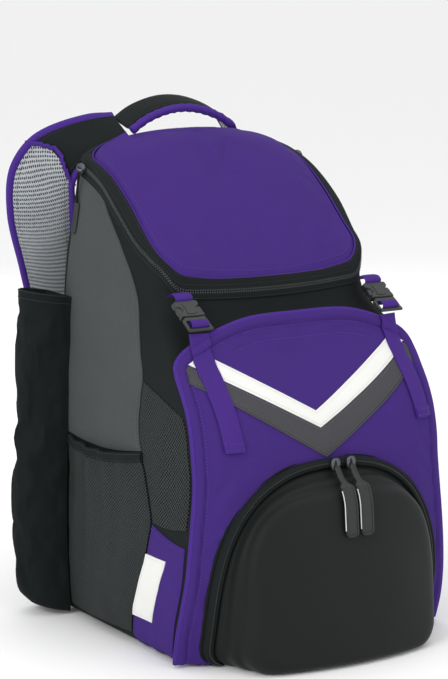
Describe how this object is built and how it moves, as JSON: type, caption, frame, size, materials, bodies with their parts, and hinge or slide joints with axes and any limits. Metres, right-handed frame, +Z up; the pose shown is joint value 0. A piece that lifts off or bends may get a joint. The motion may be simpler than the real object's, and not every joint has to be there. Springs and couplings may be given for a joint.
{
  "type": "baseball bat backpack",
  "caption": "Upright cloth backpack with a sloped zip lid, a front flap that carries a moulded case, tall side sleeves for bats, mesh side pockets, a haul handle and padded shoulder straps.",
  "frame": {"origin": "centre of the whole bag's box on the surface that the bag stands on", "axes": "+Z up; -Y is the front with the flap and the case; +Y is the side that lies on the wearer's back; +X is the wearer's right when the front is looked at, to the right of the picture"},
  "size_m": [0.4044, 0.4014, 0.5315],
  "materials": {
    "black_cloth": "woven polyester, matt",
    "purple_cloth": "woven polyester with a soft sheen",
    "zipper_tape": "coil zipper on woven tape",
    "white_patch": "smooth sewn patch",
    "grey_patch": "smooth sewn patch",
    "grey_cloth": "brushed heather polyester",
    "black_mesh": "knitted open mesh",
    "sleeve_cloth": "stretch neoprene, matt",
    "moulded_black": "cloth-faced moulded foam shell",
    "gunmetal": "dark nickel",
    "rubber_pull": "soft moulded",
    "purple_webbing": "ribbed webbing",
    "black_plastic": "moulded acetal, satin",
    "strap_cloth": "padded cloth with spacer mesh inside",
    "black_webbing": "ribbed webbing"
  },
  "bodies": {
    "root": {"main_body": "black_cloth", "lid_panel": "purple_cloth", "lid_gusset": "black_cloth", "lid_zipper": "zipper_tape", "front_flap": "purple_cloth", "chevron_white": "white_patch", "chevron_grey": "grey_patch", "side_panel_left": "grey_cloth", "side_panel_right": "grey_cloth", "mesh_pocket_left": "black_mesh", "mesh_pocket_right": "black_mesh", "pocket_binding_left": "black_cloth", "pocket_binding_right": "black_cloth", "side_wedge_left": "purple_cloth", "side_wedge_right": "purple_cloth", "mesh_gusset_left": "black_mesh", "mesh_gusset_right": "black_mesh", "bat_sleeve_left": "sleeve_cloth", "bat_sleeve_right": "sleeve_cloth", "woven_label": "white_patch", "hard_case": "moulded_black", "case_zipper": "zipper_tape", "case_slider_a": "gunmetal", "case_slider_b": "gunmetal", "case_puller_a": "rubber_pull", "case_puller_b": "rubber_pull", "lid_slider_left": "gunmetal", "lid_slider_right": "gunmetal", "lid_puller_left": "rubber_pull", "lid_puller_right": "rubber_pull", "lid_tab_left": "purple_webbing", "lid_tab_right": "purple_webbing", "buckle_socket_left": "black_plastic", "buckle_socket_right": "black_plastic", "buckle_plug_left": "black_plastic", "buckle_plug_right": "black_plastic", "flap_strap_left": "purple_webbing", "flap_strap_right": "purple_webbing", "back_panel": "black_mesh", "haul_handle": "black_cloth", "handle_binding": "purple_cloth", "strap_pad_left": "strap_cloth", "strap_pad_right": "strap_cloth", "strap_tail_left": "black_webbing", "strap_tail_right": "black_webbing"}
  },
  "joints": []
}
